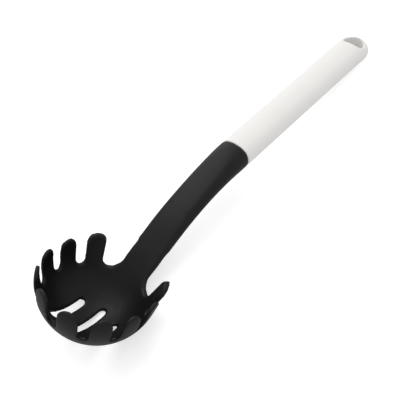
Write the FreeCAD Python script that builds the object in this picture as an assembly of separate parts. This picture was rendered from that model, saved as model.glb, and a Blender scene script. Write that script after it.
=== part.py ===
import FreeCAD, Part
import math
import os

# Pasta server: a black nylon head with a tined bowl and a curved neck, pushed into a hollow white handle.
# Lengths are in millimetres, angles in degrees.
# The head is drawn round the bowl's centre, with +X towards the neck and +Z up through the tines.
# The handle is drawn along +X from its mouth. At the end everything is turned to lie on a table.

# Bowl: a half ball that runs on as a straight channel towards the neck
bowl_radius = 35.0
bowl_wall = 2.3
channel_angle = 50.0
channel_draft_angle = 5.0

# Tines
tine_pitch_angle = 30.0
tine_tip_height = 2.0
tine_length = 16.0
tine_corner_share = 1.02
valley_radius_share = 0.097
valley_flare_angle = 6.4

# Drain slots through the bottom of the bowl
slot_width = 5.1
slot_length = 27.4
slot_spacing = 13.2
middle_slot_centre = -0.6
side_slot_centre = -5.2

# Neck: it leaves the bowl along the channel and bends over towards the handle
neck_straight_length = 25.6
neck_bend_radius = 172.0
neck_root_angle = 25.0
neck_root_width = 25.6
neck_waist_width = 20.0
neck_root_thickness = 4.2
neck_root_sweep = 12.0
neck_root_sweep_rise = 20.0
neck_root_overlap = 0.5
collar_length = 3.0
collar_edge_bevel = 0.5

# Handle: an oval sleeve with a round end
handle_rise_angle = 20.8
handle_width = 23.0
handle_thickness = 18.0
handle_length = 170.0
handle_wall = 2.6
socket_depth = 124.0

# Hang hole: a half-round hole that follows the handle's round end
hang_hole_rim = 3.9
hang_hole_flat_setback = 0.4
hang_hole_corner_radius = 1.2
hang_hole_edge_bevel = 0.6

# Tang of the head inside the handle, with snap barbs, and the seal round its root
tang_length = 58.0
tang_plug_length = 8.0
tang_rib_thickness = 3.0
tang_clearance = 0.2
barb_place = 40.0
barb_length = 6.0
barb_height = 0.8
barb_clearance = 0.2
seal_thickness = 1.8
seal_width = 1.0

# One overrun for every cut, and the nearness by which edges are picked
cut_overrun = 5.0
match_tolerance = 0.01

# Every oval has four arcs. The side arcs' radius is a share of the half thickness.
# The neck has a strip of surface for every step of each quarter's two arcs, past the sections of its root.
side_arc_share = 0.95
neck_top_step_count = 4
neck_side_step_count = 7
neck_root_section_count = 3

# Stations of the neck, as shares:
# of the way along it, of the flare at the bowl, of the swell at the collar, of the growth in thickness,
# and of the bowl's own curvature across the neck.
neck_station_shares = (
    (0.00, 1.00, 0.00, 0.00, 1.00),
    (0.13, 0.50, 0.00, 0.10, 1.00),
    (0.26, 0.06, 0.00, 0.21, 0.45),
    (0.40, 0.00, 0.03, 0.31, 0.10),
    (0.58, 0.00, 0.18, 0.43, 0.00),
    (0.79, 0.00, 0.54, 0.63, 0.00),
    (1.00, 0.00, 1.00, 1.00, 0.00),
)
neck_root_width_share = 0.8
neck_root_depth_share = 0.75

inner_radius = bowl_radius - bowl_wall
middle_radius = bowl_radius - bowl_wall / 2
valley_radius = valley_radius_share * bowl_radius
valley_floor = tine_tip_height - tine_length
beyond_bowl = 2 * bowl_radius
handle_half_width = handle_width / 2
handle_half_thickness = handle_thickness / 2
handle_end_centre = handle_length - handle_half_width
hang_hole_radius = handle_half_width - hang_hole_rim

origin = FreeCAD.Vector(0, 0, 0)
x_axis = FreeCAD.Vector(1, 0, 0)
y_axis = FreeCAD.Vector(0, 1, 0)
z_axis = FreeCAD.Vector(0, 0, 1)


def vector(x, y, z):
    return FreeCAD.Vector(x, y, z)


def heading(slope):
    # The direction in the plane of symmetry that rises towards +X at a slope.
    return vector(math.cos(math.radians(slope)), 0, math.sin(math.radians(slope)))


def oval_quarter(half_width, half_thickness, inset, top_steps, side_steps):
    # Points from the top of the oval to its side: the flat arc over the top, then the tight side arc.
    side_radius = side_arc_share * half_thickness
    reach = half_width - side_radius
    top_radius = (reach ** 2 + half_thickness ** 2 - side_radius ** 2) / (2 * (half_thickness - side_radius))
    sink = top_radius - half_thickness
    joint_angle = math.atan2(reach, sink)
    points = []
    for step in range(top_steps):
        turn = joint_angle * step / top_steps
        radius = top_radius - inset
        points.append((radius * math.sin(turn), radius * math.cos(turn) - sink))
    for step in range(side_steps):
        turn = joint_angle + (math.pi / 2 - joint_angle) * step / side_steps
        radius = side_radius - inset
        points.append((reach + radius * math.sin(turn), radius * math.cos(turn)))
    points.append((half_width - inset, 0))
    return points


def oval_points(half_width, half_thickness, inset):
    # Once round the oval, from its top by the +Y side.
    quarter = oval_quarter(half_width, half_thickness, inset, neck_top_step_count, neck_side_step_count)
    down = [(across, -up) for across, up in reversed(quarter[:-1])]
    right = quarter + down
    left = [(-across, up) for across, up in reversed(right[1:-1])]
    return right + left


def oval_half(inset):
    # The +Y half of the handle's oval, or of the oval a wall's width inside it, closed along its middle.
    points = oval_quarter(handle_half_width, handle_half_thickness, inset, 2, 1)
    top, top_middle, joint, side = [vector(0, across, up) for across, up in points]
    low, low_middle, low_joint, _ = [vector(0, across, -up) for across, up in points]
    return Part.Face(Part.Wire([
        Part.Arc(top, top_middle, joint).toShape(),
        Part.Arc(joint, side, low_joint).toShape(),
        Part.Arc(low_joint, low_middle, low).toShape(),
        Part.makeLine(low, top),
    ]))


def both_sides(half):
    return half.fuse(half.mirror(origin, y_axis)).removeSplitter()


def oval_prism(inset, start, stop):
    half = oval_half(inset).extrude(x_axis * (stop - start))
    half.translate(x_axis * start)
    return both_sides(half)


def box_between(low, high):
    size = high - low
    return Part.makeBox(size.x, size.y, size.z, low)


def wall_blank(radius, angle):
    # A half ball whose open side looks along the channel, with the channel's straight run.
    along = heading(angle)
    ball = Part.makeSphere(radius, origin, z_axis, -90, 90, 180)
    ball.rotate(origin, x_axis, -90)
    ball.rotate(origin, y_axis, 90 - angle)
    return ball.fuse(Part.makeCylinder(radius, beyond_bowl, origin, along)).removeSplitter()


def over_tips_cutter():
    return box_between(
        vector(-beyond_bowl, -beyond_bowl, tine_tip_height),
        vector(2 * beyond_bowl, beyond_bowl, 2 * beyond_bowl),
    )


def valley_cutter(angle):
    # A round-bottomed gap between two tines, open at the top and a little wider there.
    lean = math.radians(valley_flare_angle)
    centre_height = valley_floor + valley_radius
    side = valley_radius * math.cos(lean)
    side_height = centre_height - valley_radius * math.sin(lean)
    top = tine_tip_height + cut_overrun
    top_side = side + (top - side_height) * math.tan(lean)
    left_top = vector(0, -top_side, top)
    left = vector(0, -side, side_height)
    bottom = vector(0, 0, valley_floor)
    right = vector(0, side, side_height)
    right_top = vector(0, top_side, top)
    outline = Part.Wire([
        Part.makeLine(left_top, left),
        Part.Arc(left, bottom, right).toShape(),
        Part.makeLine(right, right_top),
        Part.makeLine(right_top, left_top),
    ])
    cutter = Part.Face(outline).extrude(x_axis * beyond_bowl)
    cutter.rotate(origin, z_axis, angle)
    return cutter


def on_channel(across, along):
    # A point of the flat sheet that touches the middle of the wall along the neck.
    return on_dome(channel_angle) + y_axis * across + heading(channel_angle) * along


def neck_root_tongue():
    # What stays of the wall under the neck. Its sides sweep from the valleys beside it into the neck's edges.
    end = neck_waist_width / 2 - neck_root_overlap
    foot = end + neck_root_sweep
    low = neck_root_sweep_rise - neck_root_sweep
    turn = math.radians(45)
    middle = foot - neck_root_sweep * math.cos(turn)
    middle_rise = neck_root_sweep_rise - neck_root_sweep * math.sin(turn)
    edges = []
    for side in (1, -1):
        top = on_channel(side * end, neck_root_sweep_rise)
        bottom = on_channel(side * foot, low)
        edges.append(Part.Arc(top, on_channel(side * middle, middle_rise), bottom).toShape())
        edges.append(Part.makeLine(bottom, on_channel(side * foot, -beyond_bowl)))
    edges.append(Part.makeLine(on_channel(foot, -beyond_bowl), on_channel(-foot, -beyond_bowl)))
    edges.append(Part.makeLine(on_channel(end, neck_root_sweep_rise), on_channel(-end, neck_root_sweep_rise)))
    outline = Part.Wire(Part.__sortEdges__(edges))
    outward = heading(channel_angle - 90)
    tongue = Part.Face(outline).extrude(outward * beyond_bowl)
    tongue.translate(outward * (-beyond_bowl / 2))
    return tongue


def neck_gate_cutter():
    # Takes away the wall between the middles of the two valleys beside the neck, down to the neck's tongue.
    side = 2 * beyond_bowl * math.tan(math.radians(tine_pitch_angle))
    axis = vector(0, 0, valley_floor)
    right = vector(2 * beyond_bowl, -side, valley_floor)
    left = vector(2 * beyond_bowl, side, valley_floor)
    outline = Part.makePolygon([axis, right, left, axis])
    return Part.Face(outline).extrude(z_axis * (2 * beyond_bowl)).cut(neck_root_tongue())


def slot_cutter(centre, offset):
    half_run = (slot_length - slot_width) / 2
    radius = slot_width / 2
    near = vector(centre - half_run, offset - radius, 0)
    far = vector(centre + half_run, offset - radius, 0)
    near_top = vector(centre - half_run, offset + radius, 0)
    far_top = vector(centre + half_run, offset + radius, 0)
    outline = Part.Wire([
        Part.makeLine(near, far),
        Part.Arc(far, vector(centre + half_run + radius, offset, 0), far_top).toShape(),
        Part.makeLine(far_top, near_top),
        Part.Arc(near_top, vector(centre - half_run - radius, offset, 0), near).toShape(),
    ])
    return Part.Face(outline).extrude(z_axis * -beyond_bowl)


def tine_corner_radius():
    # A share of half the tip's width inside the bowl.
    half_pitch = math.radians(tine_pitch_angle / 2)
    half_valley = valley_radius + (tine_length - valley_radius) * math.tan(math.radians(valley_flare_angle))
    return tine_corner_share * (inner_radius * math.sin(half_pitch) - half_valley) / math.cos(half_pitch)


def middle_of(edge):
    return edge.valueAt((edge.FirstParameter + edge.LastParameter) / 2)


def tine_corner_edges(shell):
    # The short straight edges through the wall at the two corners of every tip.
    corners = []
    for edge in shell.Edges:
        at_tip = abs(middle_of(edge).z - tine_tip_height) < match_tolerance
        if at_tip and isinstance(edge.Curve, Part.Line):
            corners.append(edge)
    return corners


def on_dome(slope):
    # The point on the middle of the wall where the wall rises at a slope.
    return vector(math.sin(math.radians(slope)), 0, -math.cos(math.radians(slope))) * middle_radius


def bend_length():
    return neck_bend_radius * math.radians(channel_angle - handle_rise_angle)


def neck_station(share):
    # The point and slope of the neck's middle line, at a share of its straight run and its bend.
    distance = share * (neck_straight_length + bend_length())
    straight = min(distance, neck_straight_length)
    slope = channel_angle - math.degrees((distance - straight) / neck_bend_radius)
    start = on_dome(channel_angle) + heading(channel_angle) * straight
    bend = vector(
        math.sin(math.radians(channel_angle)) - math.sin(math.radians(slope)),
        0,
        math.cos(math.radians(slope)) - math.cos(math.radians(channel_angle)),
    )
    return start + bend * neck_bend_radius, slope


def collar_end():
    return neck_station(1)[0] + heading(handle_rise_angle) * collar_length


def neck_section(point, slope, width, thickness, dish_share, inset):
    across_up = heading(slope + 90)
    points = []
    for across, up in oval_points(width / 2, thickness / 2, inset):
        dish = middle_radius - math.sqrt(middle_radius ** 2 - across ** 2)
        points.append(point + y_axis * across + across_up * (up + dish * dish_share))
    steps = [float(step) for step in range(len(points) + 1)]
    curve = Part.BSplineCurve()
    curve.interpolate(Points=points, PeriodicFlag=True, Parameters=steps)
    return Part.Wire(curve.toShape())


def collar_section(setback, inset):
    point = collar_end() - heading(handle_rise_angle) * setback
    return neck_section(point, handle_rise_angle, handle_width, handle_thickness, 0, inset)


def neck_sections():
    # The first section lies inside the ball, the last is where the collar's edge begins.
    root_slope = channel_angle - neck_root_angle
    root_point = on_dome(root_slope) * neck_root_depth_share
    root_width = neck_root_width * neck_root_width_share
    sections = [neck_section(root_point, root_slope, root_width, neck_root_thickness, 1, 0)]
    for along, flare, swell, growth, dish in neck_station_shares:
        point, slope = neck_station(along)
        width = neck_waist_width
        width += flare * (neck_root_width - neck_waist_width)
        width += swell * (handle_width - neck_waist_width)
        thickness = neck_root_thickness + growth * (handle_thickness - neck_root_thickness)
        sections.append(neck_section(point, slope, width, thickness, dish, 0))
    sections.append(collar_section(collar_edge_bevel, 0))
    return sections


def closed_solid(faces):
    shell = Part.makeShell(faces)
    shell.sewShape()
    return Part.makeSolid(shell)


def strips(surface, start, stop):
    # The faces of a loft between the points of its sections.
    across = surface.getUKnots()
    return [surface.toShape(left, right, start, stop) for left, right in zip(across[:-1], across[1:])]


def make_neck():
    # The root of the neck in one face, and the rest of it in strips up to the bevelled edge of the collar.
    sections = neck_sections()
    tip = collar_section(0, collar_edge_bevel)
    surface = Part.makeLoft(sections, False, False).Faces[0].Surface
    edge = Part.makeLoft([sections[-1], tip], False, True).Faces[0].Surface
    across = surface.getUKnots()
    along = surface.getVKnots()
    _, split = surface.parameter(sections[neck_root_section_count].Vertexes[0].Point)
    middle = Part.Face(Part.Wire(surface.vIso(split).toShape()))
    root_face = surface.toShape(across[0], across[-1], along[0], split)
    root = closed_solid([root_face, Part.Face(sections[0]), middle])
    edge_along = edge.getVKnots()
    sides = strips(surface, split, along[-1]) + strips(edge, edge_along[0], edge_along[-1])
    return root, closed_solid(sides + [middle, Part.Face(tip)])


def barb(clearance, side):
    # A ramp that rises towards the mouth, on the top or bottom of the tang's upright rib.
    root = handle_half_thickness - handle_wall - tang_clearance
    start = barb_place - clearance
    stop = barb_place + barb_length + clearance
    points = [
        vector(start, 0, side * (root - tang_rib_thickness)),
        vector(start, 0, side * (root + barb_height + clearance)),
        vector(stop, 0, side * root),
        vector(stop, 0, side * (root - tang_rib_thickness)),
    ]
    half = tang_rib_thickness / 2 + clearance
    solid = Part.Face(Part.makePolygon(points + points[:1])).extrude(y_axis * (2 * half))
    solid.translate(y_axis * -half)
    return solid


def make_tang():
    half_rib = tang_rib_thickness / 2
    half_width = handle_half_width
    half_height = handle_half_thickness
    plug = box_between(
        vector(-collar_length, -half_width, -half_height), vector(tang_plug_length, half_width, half_height)
    )
    web = box_between(vector(0, -half_width, -half_rib), vector(tang_length, half_width, half_rib))
    rib = box_between(vector(0, -half_rib, -half_height), vector(tang_length, half_rib, half_height))
    blank = oval_prism(handle_wall + tang_clearance, -collar_length, tang_length)
    tang = blank.common(plug.fuse([web, rib]))
    return tang.fuse([barb(0, 1), barb(0, -1)]).removeSplitter()


def make_head():
    # The solid ball with its tines and neck is hollowed in one cut, so wall and neck share one inner face.
    cutters = [over_tips_cutter(), neck_gate_cutter()]
    turns = round(360 / tine_pitch_angle)
    for step in range(1, turns):
        cutters.append(valley_cutter(step * tine_pitch_angle))
    neck_root, neck = make_neck()
    solid = wall_blank(bowl_radius, channel_angle).cut(cutters).fuse(neck_root)
    shell = solid.cut(wall_blank(inner_radius, channel_angle + channel_draft_angle))
    shell = shell.makeFillet(tine_corner_radius(), tine_corner_edges(shell))
    slots = [slot_cutter(middle_slot_centre, 0)]
    for side in (-1, 1):
        slots.append(slot_cutter(side_slot_centre, side * slot_spacing))
    return shell.cut(slots).fuse([neck, onto_neck(make_tang())])


def make_seal():
    # A flat ring that fills the step in the handle's mouth, round the root of the tang.
    ring = oval_prism(handle_wall - seal_width, 0, seal_thickness)
    return ring.cut(oval_prism(handle_wall + tang_clearance, -cut_overrun, seal_thickness + cut_overrun))


def hang_hole_cutter():
    flat = handle_end_centre - hang_hole_flat_setback
    half_flat = math.sqrt(hang_hole_radius ** 2 - hang_hole_flat_setback ** 2)
    left = vector(flat, -half_flat, 0)
    right = vector(flat, half_flat, 0)
    outline = Part.Wire([
        Part.makeLine(left, right),
        Part.Arc(right, vector(handle_end_centre + hang_hole_radius, 0, 0), left).toShape(),
    ])
    height = handle_thickness + 2 * cut_overrun
    cutter = Part.Face(outline).extrude(z_axis * height)
    cutter.translate(z_axis * (-height / 2))
    uprights = [edge for edge in cutter.Edges if edge.BoundBox.ZLength > handle_thickness]
    return cutter.makeFillet(hang_hole_corner_radius, uprights)


def handle_blank():
    # Half of the oval, drawn out along the handle and turned about the round end's centre, then mirrored.
    section = oval_half(0)
    end = section.revolve(origin, z_axis, -90)
    end.translate(x_axis * handle_end_centre)
    return both_sides(section.extrude(x_axis * handle_end_centre).fuse(end).removeSplitter())


def hang_hole_edges(handle):
    # The outline of the hole on the handle's top and underside.
    edges = []
    for edge in handle.Edges:
        middle = middle_of(edge)
        inside = math.hypot(middle.x - handle_end_centre, middle.y) < hang_hole_radius + match_tolerance
        level = edge.BoundBox.ZLength < handle_half_thickness
        past_flat = middle.x > handle_end_centre - hang_hole_flat_setback - match_tolerance
        if inside and level and past_flat and abs(middle.z) > match_tolerance:
            edges.append(edge)
    return edges


def make_handle():
    handle = handle_blank().cut(hang_hole_cutter())
    handle = handle.makeChamfer(hang_hole_edge_bevel, hang_hole_edges(handle))
    socket = oval_prism(handle_wall, -cut_overrun, socket_depth)
    seat = oval_prism(handle_wall - seal_width, -cut_overrun, seal_thickness)
    return handle.cut([socket, seat, barb(barb_clearance, 1), barb(barb_clearance, -1)])


def onto_neck(shape):
    shape = shape.copy()
    shape.Placement = FreeCAD.Placement(collar_end(), FreeCAD.Rotation(y_axis, -handle_rise_angle))
    return shape


def lowest(shape, tilt):
    turned = shape.copy()
    turned.rotate(origin, y_axis, tilt)
    return turned.optimalBoundingBox(False).ZMin


def rest_tilt(handle):
    # The turn about Y that brings the underside of the handle down to the level of the bowl's bottom.
    level, steep = 0.0, 90.0
    for _ in range(40):
        middle = (level + steep) / 2
        if lowest(handle, middle) > -bowl_radius:
            level = middle
        else:
            steep = middle
    return level


def main():
    parts = {
        "server_head": make_head(),
        "handle_sleeve": onto_neck(make_handle()),
        "socket_seal": onto_neck(make_seal()),
    }
    tilt = rest_tilt(parts["handle_sleeve"])
    for shape in parts.values():
        shape.rotate(origin, y_axis, tilt)
    box = Part.makeCompound(list(parts.values())).optimalBoundingBox(False)
    os.makedirs("parts", exist_ok=True)
    for name, shape in parts.items():
        shape.translate(vector(-box.Center.x, 0, -box.ZMin))
        shape.exportStep("parts/" + name + ".step")
        print(name, len(shape.Solids), "solid", shape.isValid(), round(shape.Volume))
    print("tilt", round(tilt, 2), "size", box.XLength, box.YLength, box.ZLength)


main()
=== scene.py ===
import math

import bmesh
import bpy
from mathutils import Matrix, Vector


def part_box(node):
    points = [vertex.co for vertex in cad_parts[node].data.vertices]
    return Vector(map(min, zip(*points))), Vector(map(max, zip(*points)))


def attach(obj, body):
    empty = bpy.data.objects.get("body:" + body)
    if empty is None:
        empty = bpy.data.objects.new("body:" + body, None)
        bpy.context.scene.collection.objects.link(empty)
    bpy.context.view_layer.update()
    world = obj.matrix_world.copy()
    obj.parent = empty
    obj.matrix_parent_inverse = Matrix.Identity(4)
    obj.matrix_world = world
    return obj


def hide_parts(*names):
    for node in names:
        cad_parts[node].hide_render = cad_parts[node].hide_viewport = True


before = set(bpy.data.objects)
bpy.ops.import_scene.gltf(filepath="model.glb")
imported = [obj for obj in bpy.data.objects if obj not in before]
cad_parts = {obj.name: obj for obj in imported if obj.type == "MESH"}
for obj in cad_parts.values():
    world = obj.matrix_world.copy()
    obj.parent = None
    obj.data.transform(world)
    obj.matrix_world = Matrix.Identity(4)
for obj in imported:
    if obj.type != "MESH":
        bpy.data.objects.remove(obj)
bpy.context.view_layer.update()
print("frame loaded:", ", ".join(sorted(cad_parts)))

scene = bpy.context.scene
scene.view_settings.view_transform = "Standard"


# node helpers, shared by the finishes, the floor and the sky

def addNode(tree, kind, place=(0, 0), **values):
    node = tree.nodes.new(kind)
    node.location = place
    for name, value in values.items():
        setattr(node, name, value)
    return node


def link(tree, fromNode, fromSocket, toNode, toSocket):
    tree.links.new(fromNode.outputs[fromSocket], toNode.inputs[toSocket])


def newFinish(name):
    material = bpy.data.materials.new(name)
    material.use_nodes = True
    tree = material.node_tree
    return material, tree, tree.nodes["Principled BSDF"]


noiseLook = {
    "roughness": 0.55,
    "cloudDetail": 3,
    "cloudRange": (0.3, 0.7),  # the noise that gives the darkest and the lightest
    "grainDetail": 2,
}


def objectNoise(tree, scale, detail):
    # noise in metres on the piece itself
    place = addNode(tree, "ShaderNodeTexCoord", (-1400, 0))
    noise = addNode(tree, "ShaderNodeTexNoise", (-1100, 0))
    noise.inputs["Scale"].default_value = scale
    noise.inputs["Detail"].default_value = detail
    noise.inputs["Roughness"].default_value = noiseLook["roughness"]
    link(tree, place, "Object", noise, "Vector")
    return noise


def cloudRange(tree, cloud, low, high):
    mapped = addNode(tree, "ShaderNodeMapRange", (-800, 0))
    start, stop = noiseLook["cloudRange"]
    mapped.inputs["From Min"].default_value = start
    mapped.inputs["From Max"].default_value = stop
    mapped.inputs["To Min"].default_value = low
    mapped.inputs["To Max"].default_value = high
    link(tree, cloud, "Fac", mapped, "Value")
    return mapped


def mixColours(tree, factor, socket, low, high):
    mix = addNode(tree, "ShaderNodeMix", (-500, 200), data_type="RGBA")
    mix.inputs["A"].default_value = (*low, 1)
    mix.inputs["B"].default_value = (*high, 1)
    link(tree, factor, socket, mix, "Factor")
    return mix


def makePlastic(name, look):
    # a moulded skin: faint clouds of colour and gloss under a fine grain
    material, tree, shader = newFinish(name)
    cloud = objectNoise(tree, look["cloudScale"], noiseLook["cloudDetail"])
    share = cloudRange(tree, cloud, 0, 1)
    colour = mixColours(tree, share, "Result", look["dark"], look["light"])
    link(tree, colour, "Result", shader, "Base Color")
    rough = cloudRange(tree, cloud, look["roughLow"], look["roughHigh"])
    link(tree, rough, "Result", shader, "Roughness")
    grain = objectNoise(tree, look["grainScale"], noiseLook["grainDetail"])
    bump = addNode(tree, "ShaderNodeBump", (-300, -300))
    bump.inputs["Strength"].default_value = look["grainStrength"]
    bump.inputs["Distance"].default_value = look["grainDepth"]
    link(tree, grain, "Fac", bump, "Height")
    link(tree, bump, "Normal", shader, "Normal")
    shader.inputs["IOR"].default_value = look["bending"]
    shader.inputs["Specular IOR Level"].default_value = look["shine"]
    return material


# black nylon of the head

nylonLook = {
    "dark": (0.0042, 0.0042, 0.0044),
    "light": (0.0060, 0.0060, 0.0063),
    "bending": 1.5,  # index of refraction
    "shine": 0.25,
    "roughLow": 0.38,
    "roughHigh": 0.46,
    "grainScale": 2600,
    "grainStrength": 0.5,
    "grainDepth": 0.00002,
    "cloudScale": 60,
}

# matte white plastic of the handle

whiteLook = {
    "dark": (0.85, 0.838, 0.815),
    "light": (0.87, 0.859, 0.838),
    "bending": 1.49,
    "shine": 0.5,
    "roughLow": 0.48,
    "roughHigh": 0.58,
    "grainScale": 2200,
    "grainStrength": 0.4,
    "grainDepth": 0.000015,
    "cloudScale": 35,
}

# rubber of the seal ring

rubberLook = {
    "dark": (0.012, 0.012, 0.012),
    "light": (0.02, 0.02, 0.02),
    "rough": 0.75,
    "grainScale": 1500,
}


def makeRubber(look):
    material, tree, shader = newFinish("seal_rubber")
    grain = objectNoise(tree, look["grainScale"], noiseLook["grainDetail"])
    colour = mixColours(tree, grain, "Fac", look["dark"], look["light"])
    link(tree, colour, "Result", shader, "Base Color")
    shader.inputs["Roughness"].default_value = look["rough"]
    return material


nylon = makePlastic("black_nylon", nylonLook)
white = makePlastic("white_plastic", whiteLook)
rubber = makeRubber(rubberLook)
print("finishes made:", nylon.name, white.name, rubber.name)


# shape helpers, shared by the head and the handle

def ramp(value, start, stop):
    return min(1, max(0, (value - start) / (stop - start)))


def hump(value, rise, full, hold, end):
    return min(ramp(value, rise, full), ramp(value, end, hold))


def slopeAxes(degrees):
    # along a slope that climbs with X, and square to it
    slope = math.radians(degrees)
    along = Vector((math.cos(slope), 0, math.sin(slope)))
    up = Vector((-math.sin(slope), 0, math.cos(slope)))
    return along, up


gridLook = {
    "mergeDistance": 0.000002,
    "voxel": 0.00057,
    "slope": 6.25,  # degrees about Y, so the faces run along the handle
    "softenFactor": 0.5,
}


def evenSkin(node, name, look):
    # one closed skin of small even faces, from a merged copy of the solid's mesh
    turn = Matrix.Rotation(math.radians(look["slope"]), 4, "Y")
    shape = bmesh.new()
    shape.from_mesh(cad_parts[node].data)
    bmesh.ops.remove_doubles(shape, verts=shape.verts, dist=look["mergeDistance"])
    bmesh.ops.transform(shape, matrix=turn.inverted(), verts=shape.verts)
    mesh = bpy.data.meshes.new("copy")
    shape.to_mesh(mesh)
    shape.free()
    copy = bpy.data.objects.new("copy", mesh)
    scene.collection.objects.link(copy)
    grid = copy.modifiers.new("even_grid", "REMESH")
    grid.mode = "VOXEL"
    grid.voxel_size = look["voxel"]
    grid.use_smooth_shade = True
    done = copy.evaluated_get(bpy.context.evaluated_depsgraph_get())
    skin = bpy.data.meshes.new_from_object(done)
    skin.name = name
    skin.transform(turn)
    bpy.data.objects.remove(copy)
    bpy.data.meshes.remove(mesh)
    return skin


def soften(shape, verts, passes):
    for _ in range(passes):
        bmesh.ops.smooth_vert(
            shape,
            verts=verts,
            factor=gridLook["softenFactor"],
            use_axis_x=True,
            use_axis_y=True,
            use_axis_z=True,
        )


def paint(node, material):
    node.data.materials.clear()
    node.data.materials.append(material)


def finishPiece(name, mesh, material, node):
    piece = bpy.data.objects.new(name, mesh)
    scene.collection.objects.link(piece)
    paint(piece, material)
    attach(piece, "root")
    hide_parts(node)
    print(name, "made:", len(mesh.polygons), "faces")


paint(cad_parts["socket_seal"], rubber)

# head: the moulding with fuller tines, wider valleys beside the neck and every edge softened
# places are from the centre of the bowl, stood upright, and angles go round it from the neck

headLook = {
    "bowlRadius": 0.035,
    "bowlTilt": 27.05,  # degrees about Y, from the bowl's own upright
    "tinePitch": 30.0,
    "tineFoot": -0.018,
    "tineTip": 0.002,
    "tineHalfAngle": 9.0,
    "tipSpread": 0.34,
    "sideTipSpread": 0.16,  # beside the neck
    "sideAngles": (80.0, 50.0),
    "tipLift": 0.0014,
    "tipDrop": 0.0028,  # at the sides of a tip
    "frontSpread": 4.2,  # degrees more between the tines in front
    "spreadWaves": 1.8,
    "spreadFade": 200.0,
    "spreadHeights": (-0.022, -0.014),
    "spreadAngles": (14.0, 36.0),
    "rootHeight": -0.0112,
    "rootReach": 0.0026,
    "rootTurn": 2.3,
    "rootAngles": (8.0, 16.0, 27.0, 36.0),
    "rootHeights": (-0.014, 0.004),
    "rootSoften": 62,
    "slotPlaces": (-0.0132, 0.0, 0.0132),
    "slotHalfWidth": 0.0027,
    "slotNarrow": 0.0006,
    "slotReach": 0.0066,
    "slotHeights": (-0.019, -0.022),
    "softenPasses": 8,
    "neckSlope": 50.0,
    "neckWidth": 0.0085,
    "neckFrom": -0.012,
    "neckTo": 0.062,
    "neckFacing": 0.6,  # how squarely a face looks up from the neck
    "neckPasses": 31,
    "neckMargins": (0.0, 0.0015, 0.003),
    "neckWiden": 0.08,
    "neckRamps": (-0.108, -0.09, -0.075, -0.02),  # along X, on the part as it lies
    "neckSides": (0.02, 0.013),
}


def aroundBowl(place):
    return math.degrees(math.atan2(place.y, place.x))


def fullTine(place, look):
    # wider towards the tip, which rises to a round end
    share = (place.z - look["tineFoot"]) / (look["tineTip"] - look["tineFoot"])
    around = aroundBowl(place)
    pitch = look["tinePitch"]
    if share <= 0 or abs(around) < pitch:
        return place
    middle = (math.floor(around / pitch) + 0.5) * pitch
    off = around - middle
    side = off / look["tineHalfAngle"]
    besideNeck = ramp(abs(middle), *look["sideAngles"])
    spread = look["tipSpread"] + (look["sideTipSpread"] - look["tipSpread"]) * besideNeck
    spread *= share * (1 - (off * 2 / pitch) ** 4)
    turned = math.radians(middle + off * (1 + spread))
    height = place.z + look["tipLift"] * share ** 2 - look["tipDrop"] * share ** 3 * side ** 2
    reach = math.sqrt(place.length_squared - height ** 2)
    return Vector((reach * math.cos(turned), reach * math.sin(turned), height))


def spreadTine(place, look):
    # the tines stand a little further apart in front and closer at the sides
    around = aroundBowl(place)
    front = 180 - abs(around)
    share = ramp(place.z, *look["spreadHeights"]) * ramp(abs(around), *look["spreadAngles"])
    share *= math.sin(math.radians(look["spreadWaves"] * front))
    share *= 1 - front / look["spreadFade"]
    turn = math.radians(look["frontSpread"]) * share
    return Matrix.Rotation(math.copysign(1, -around) * turn, 3, "Z") @ place


def wideRoot(place, look):
    # the wall beside the neck, drawn in towards it
    around = aroundBowl(place)
    share = hump(abs(around), *look["rootAngles"])
    share *= math.exp(-((place.z - look["rootHeight"]) / look["rootReach"]) ** 2 / 2)
    turn = -math.copysign(math.radians(look["rootTurn"]) * share, around)
    return Matrix.Rotation(turn, 3, "Z") @ place


def narrowSlot(place, look):
    # the drain slots close up a little, and the wall stays on its ball
    share = ramp(place.z, *look["slotHeights"])
    middle = min(look["slotPlaces"], key=lambda slot: abs(place.y - slot))
    off = place.y - middle
    halfWidth = look["slotHalfWidth"]
    share *= min(abs(off) / halfWidth, ramp(abs(off), look["slotReach"], halfWidth))
    if share <= 0:
        return place
    across = place.y - math.copysign(look["slotNarrow"] * share, off)
    depth = place.z ** 2 + place.y ** 2 - across ** 2
    return Vector((place.x, across, math.copysign(math.sqrt(depth), place.z)))


def wideNeck(place, look):
    # the neck keeps its width down to the bowl
    share = hump(place.x, *look["neckRamps"]) * ramp(abs(place.y), *look["neckSides"])
    return Vector((place.x, place.y * (1 + look["neckWiden"] * share), place.z))


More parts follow.
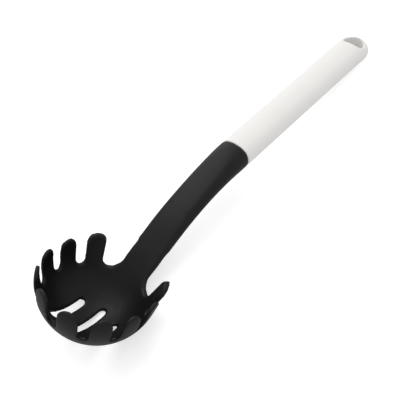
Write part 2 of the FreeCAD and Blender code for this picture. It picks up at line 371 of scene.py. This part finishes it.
def makeHead(look):
    mesh = evenSkin("server_head", "moulded_head", gridLook)
    corner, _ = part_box("server_head")
    centre = Vector((corner[0] + look["bowlRadius"], 0, corner[2] + look["bowlRadius"]))
    upright = Matrix.Rotation(math.radians(look["bowlTilt"]), 3, "Y")
    along, up = (upright @ axis for axis in slopeAxes(look["neckSlope"]))
    shape = bmesh.new()
    shape.from_mesh(mesh)
    for vert in shape.verts:
        place = upright.inverted() @ (vert.co - centre)
        place = wideRoot(spreadTine(fullTine(place, look), look), look)
        place = narrowSlot(place, look)
        vert.co = wideNeck(centre + upright @ place, look)
    soften(shape, shape.verts[:], look["softenPasses"])
    # the edges that sweep from the bowl into the neck
    near, _, far, _ = look["rootAngles"]
    low, high = look["rootHeights"]
    root = []
    for vert in shape.verts:
        place = upright.inverted() @ (vert.co - centre)
        if near < abs(aroundBowl(place)) < far and low < place.z < high:
            root.append(vert)
    soften(shape, root, look["rootSoften"])
    shape.normal_update()
    # the step where the bowl runs out on the neck
    for margin in look["neckMargins"]:
        top = []
        for vert in shape.verts:
            run = (vert.co - centre).dot(along)
            inRun = look["neckFrom"] + margin < run < look["neckTo"] - margin
            inWidth = abs(vert.co.y) < look["neckWidth"] - margin
            if inRun and inWidth and vert.normal.dot(up) > look["neckFacing"]:
                top.append(vert)
        soften(shape, top, look["neckPasses"])
    shape.to_mesh(mesh)
    shape.free()
    finishPiece("moulded_head", mesh, nylon, "server_head")


makeHead(headLook)

# handle: wider towards its round end, which bends down to the floor
# its hang hole is longer and its edges are soft

handleLook = {
    "end": (0.16474, 0.0, 0.00759),
    "slope": -6.25,  # degrees of the handle's line
    "length": 0.17,
    "flare": 0.09,  # wider at the end than at the mouth
    "endDrop": 0.0015,
    "dropLength": 0.06,
    "holeHalfWidth": 0.01,
    "holeShift": 0.0065,
    "holeRamps": (0.004, 0.0115, 0.0125, 0.03),  # from the end
    "softenPasses": 5,
}


def longHole(back, across, look):
    # the hole's straight side lies nearer the mouth
    share = hump(back, *look["holeRamps"])
    share *= max(0, 1 - (across / look["holeHalfWidth"]) ** 4)
    return back + look["holeShift"] * share


def makeHandle(look):
    mesh = evenSkin("handle_sleeve", "white_handle", gridLook)
    end = Vector(look["end"])
    along, up = slopeAxes(look["slope"])
    shape = bmesh.new()
    shape.from_mesh(mesh)
    for vert in shape.verts:
        place = vert.co - end
        back = longHole(-place.dot(along), place.y, look)
        height = place.dot(up) - look["endDrop"] * ramp(back, look["dropLength"], 0) ** 2
        across = place.y * (1 + look["flare"] * ramp(back, look["length"], 0))
        vert.co = end - along * back + up * height + Vector((0, across, 0))
    soften(shape, shape.verts[:], look["softenPasses"])
    shape.to_mesh(mesh)
    shape.free()
    finishPiece("white_handle", mesh, white, "handle_sleeve")


makeHandle(handleLook)

# floor, light and camera

floorLook = {
    "size": 8.0,
    "colour": (0.9, 0.9, 0.9),
    "mirrored": (0.6, 0.6, 0.6),  # painted shade: the floor is darker as glossy rays see it
    "lift": 0.46,  # added where the camera sees it
}


def makeFloor(look):
    shape = bmesh.new()
    bmesh.ops.create_grid(shape, x_segments=1, y_segments=1, size=look["size"] / 2)
    mesh = bpy.data.meshes.new("floor")
    shape.to_mesh(mesh)
    shape.free()
    floor = bpy.data.objects.new("floor", mesh)
    scene.collection.objects.link(floor)
    material = bpy.data.materials.new("pale_floor")
    material.use_nodes = True
    tree = material.node_tree
    tree.nodes.clear()
    output = addNode(tree, "ShaderNodeOutputMaterial", (600, 0))
    diffuse = addNode(tree, "ShaderNodeBsdfDiffuse", (0, 100))
    glow = addNode(tree, "ShaderNodeEmission", (0, -100))
    path = addNode(tree, "ShaderNodeLightPath", (-800, -200))
    # glossy rays see the floor in painted shade, darker than its own colour
    colour = mixColours(tree, path, "Is Glossy Ray", look["colour"], look["mirrored"])
    link(tree, colour, "Result", diffuse, "Color")
    lift = addNode(tree, "ShaderNodeMath", (-200, -200), operation="MULTIPLY")
    link(tree, path, "Is Camera Ray", lift, 0)
    lift.inputs[1].default_value = look["lift"]
    link(tree, lift, "Value", glow, "Strength")
    both = addNode(tree, "ShaderNodeAddShader", (300, 0))
    link(tree, diffuse, "BSDF", both, 0)
    link(tree, glow, "Emission", both, 1)
    link(tree, both, "Shader", output, "Surface")
    mesh.materials.append(material)


lightLook = {
    "skyColour": (1, 1, 1, 1),
    "sky": 0.74,
    "skySeen": 1.0,  # where the camera looks past the floor
    "aim": (0, 0, 0.02),
    "keyPower": 2.9,
    "keySize": 0.8,
    "keyPlace": (0.2, 0.45, 0.85),
    "rimPower": 1.2,
    "rimSize": 0.7,
    "rimPlace": (0.6, 0.9, 0.32),
}


def addLamp(name, place, power, size, aim):
    lamp = bpy.data.lights.new(name, "AREA")
    lamp.energy = power
    lamp.size = size
    holder = bpy.data.objects.new(name, lamp)
    scene.collection.objects.link(holder)
    holder.location = place
    x, y, z = (there - here for there, here in zip(aim, place))
    holder.rotation_euler = (math.atan2(math.hypot(x, y), -z), 0, math.atan2(-x, y))


def makeLight(look):
    world = bpy.data.worlds.new("studio")
    scene.world = world
    world.use_nodes = True
    tree = world.node_tree
    sky = tree.nodes["Background"]
    sky.inputs["Color"].default_value = look["skyColour"]
    path = addNode(tree, "ShaderNodeLightPath", (-600, 0))
    strength = addNode(tree, "ShaderNodeMapRange", (-300, 0))
    strength.inputs["To Min"].default_value = look["sky"]
    strength.inputs["To Max"].default_value = look["skySeen"]
    link(tree, path, "Is Camera Ray", strength, "Value")
    link(tree, strength, "Result", sky, "Strength")
    addLamp("key", look["keyPlace"], look["keyPower"], look["keySize"], look["aim"])
    addLamp("rim", look["rimPlace"], look["rimPower"], look["rimSize"], look["aim"])


cameraLook = {
    "place": (-0.213008, -0.148279, 0.329352),
    "turn": (35.729, 1.372, -51.149),
    "lens": 54.0,
    "sensor": 36.0,
    "shift": (-0.0008, 0.0009),
    "clipStart": 0.01,
}


def makeCamera(look):
    lens = bpy.data.cameras.new("camera")
    lens.lens = look["lens"]
    lens.sensor_width = look["sensor"]
    lens.shift_x, lens.shift_y = look["shift"]
    lens.clip_start = look["clipStart"]
    camera = bpy.data.objects.new("camera", lens)
    scene.collection.objects.link(camera)
    camera.location = look["place"]
    camera.rotation_euler = [math.radians(angle) for angle in look["turn"]]
    scene.camera = camera


makeFloor(floorLook)
makeLight(lightLook)
makeCamera(cameraLook)
print("stage set")
